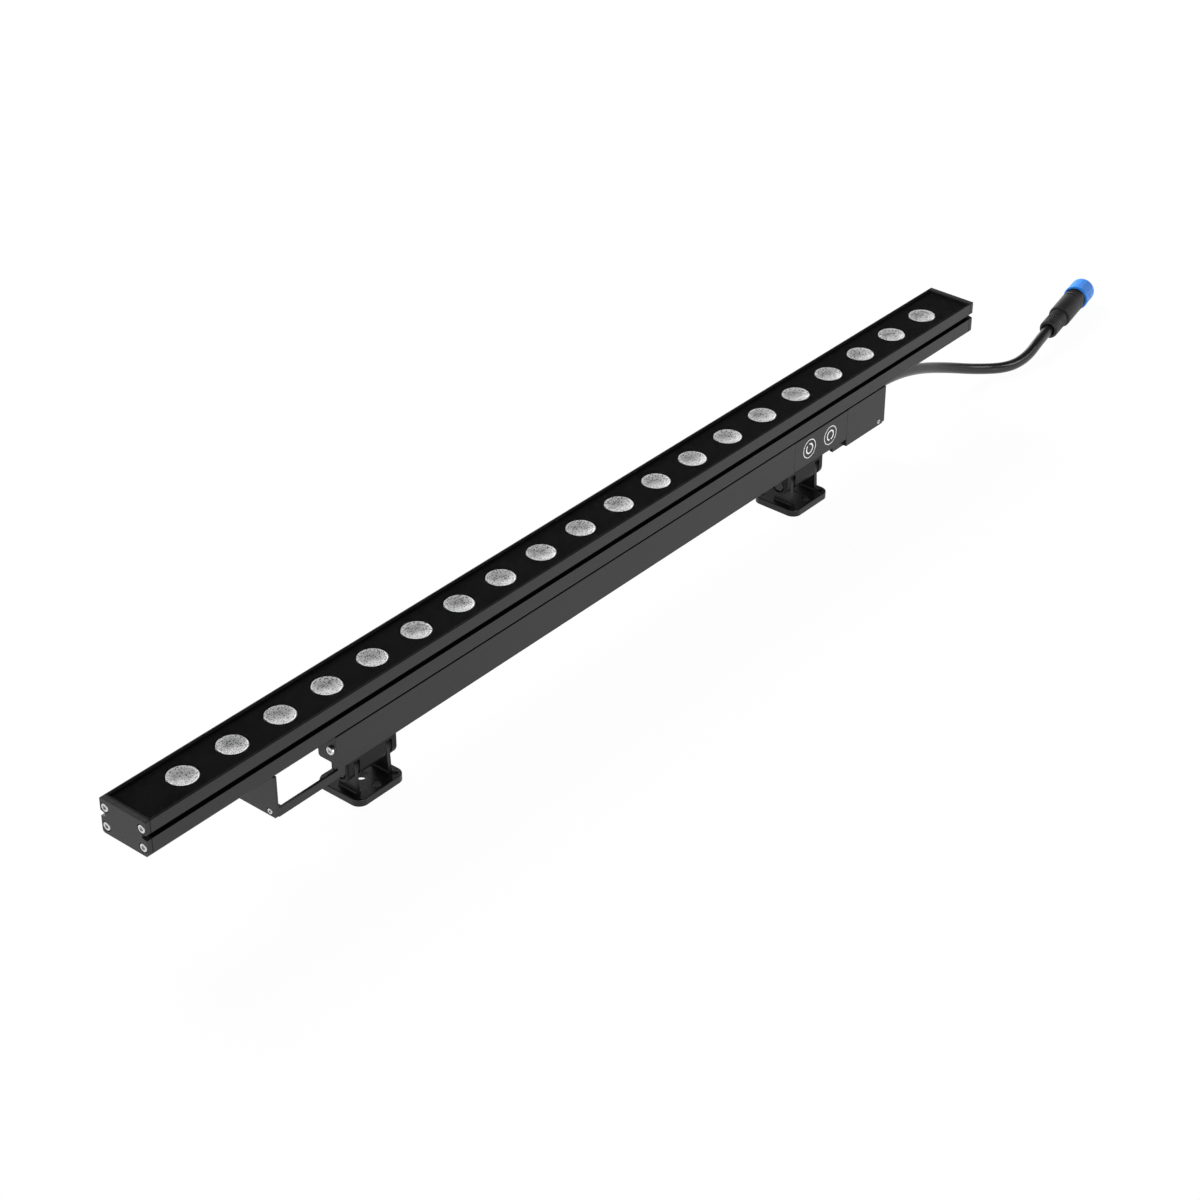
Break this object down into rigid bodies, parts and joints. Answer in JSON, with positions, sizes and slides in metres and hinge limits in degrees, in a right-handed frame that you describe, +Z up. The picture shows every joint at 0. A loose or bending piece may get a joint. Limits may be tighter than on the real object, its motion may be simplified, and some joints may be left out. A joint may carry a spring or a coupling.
{
  "type": "wall washer light",
  "caption": "Linear outdoor wall washer light: bar with a row of round lenses under glass, wiring channel below, tilting foot brackets, supply lead with capped connector.",
  "frame": {"origin": "on the floor under the middle of the bar", "axes": "+X along the bar towards the lead, +Y to the back, +Z up"},
  "size_m": [1.2361, 0.0582, 0.096],
  "materials": {
    "housing": "dark grey anodised",
    "bracket": "black powder coat",
    "pane": "clear toughened glass",
    "seal": "black silicone",
    "black_plastic": "matte",
    "lens": "clear, beaded face",
    "lamp_chip": "satin",
    "board": "white resist",
    "sheath": "matte black",
    "contact": "plated",
    "blue_cap": "satin blue",
    "steel": "stainless"
  },
  "bodies": {
    "luminaire": {"board_jumper": "board", "bulkhead_left": "housing", "bulkhead_right": "housing", "bulkhead_screws": "steel", "cable_gland": "black_plastic", "cap_screws_left": "steel", "cap_screws_right": "steel", "channel_back": "housing", "channel_blocks": "housing", "channel_front": "housing", "channel_screws": "steel", "channel_top": "housing", "connector_body": "black_plastic", "connector_nut": "black_plastic", "contact_pins": "contact", "driver_board": "board", "driver_parts": "black_plastic", "end_cap_left": "housing", "end_cap_right": "housing", "end_gasket_left": "seal", "end_gasket_right": "seal", "end_plate_left": "housing", "end_plate_right": "housing", "end_plate_screws": "steel", "front_glass": "pane", "gland_nut": "black_plastic", "glass_seal": "seal", "hinge_block_left": "bracket", "hinge_block_right": "bracket", "hinge_screws_left": "steel", "hinge_screws_right": "steel", "inner_lead": "sheath", "junction_cover_back": "housing", "junction_cover_front": "housing", "junction_cover_screws": "steel", "lamp_grommet": "seal", "lamp_housing": "housing", "lead_wires": "sheath", "led_board_left": "board", "led_board_right": "board", "led_chips": "lamp_chip", "led_feed_wires": "sheath", "lens_frame": "black_plastic", "lenses": "lens", "pivot_bolt_left": "steel", "pivot_bolt_right": "steel", "pivot_nut_left": "steel", "pivot_nut_right": "steel", "pivot_washers_left": "steel", "pivot_washers_right": "steel", "power_cord": "sheath", "rail_left_back": "housing", "rail_left_front": "housing", "rail_right_back": "housing", "rail_right_front": "housing", "rail_screws": "steel", "service_cover": "housing"},
    "left_bracket": {"bracket_left": "bracket"},
    "right_bracket": {"bracket_right": "bracket"},
    "cap": {"dust_cap": "blue_cap"}
  },
  "joints": [
    {"name": "tilt_left", "type": "hinge", "parent": "luminaire", "child": "left_bracket", "pos_m": [-0.283, -0.014, 0.0265], "axis": [1, 0, 0], "range_deg": [-30, 30]},
    {"name": "tilt_right", "type": "hinge", "parent": "luminaire", "child": "right_bracket", "pos_m": [0.25, -0.014, 0.0265], "axis": [1, 0, 0], "range_deg": [-30, 30]},
    {"name": "cap_off", "type": "slide", "parent": "luminaire", "child": "cap", "axis": [0.9781, 0.2079, 0], "range_m": [0, 0.03]}
  ]
}
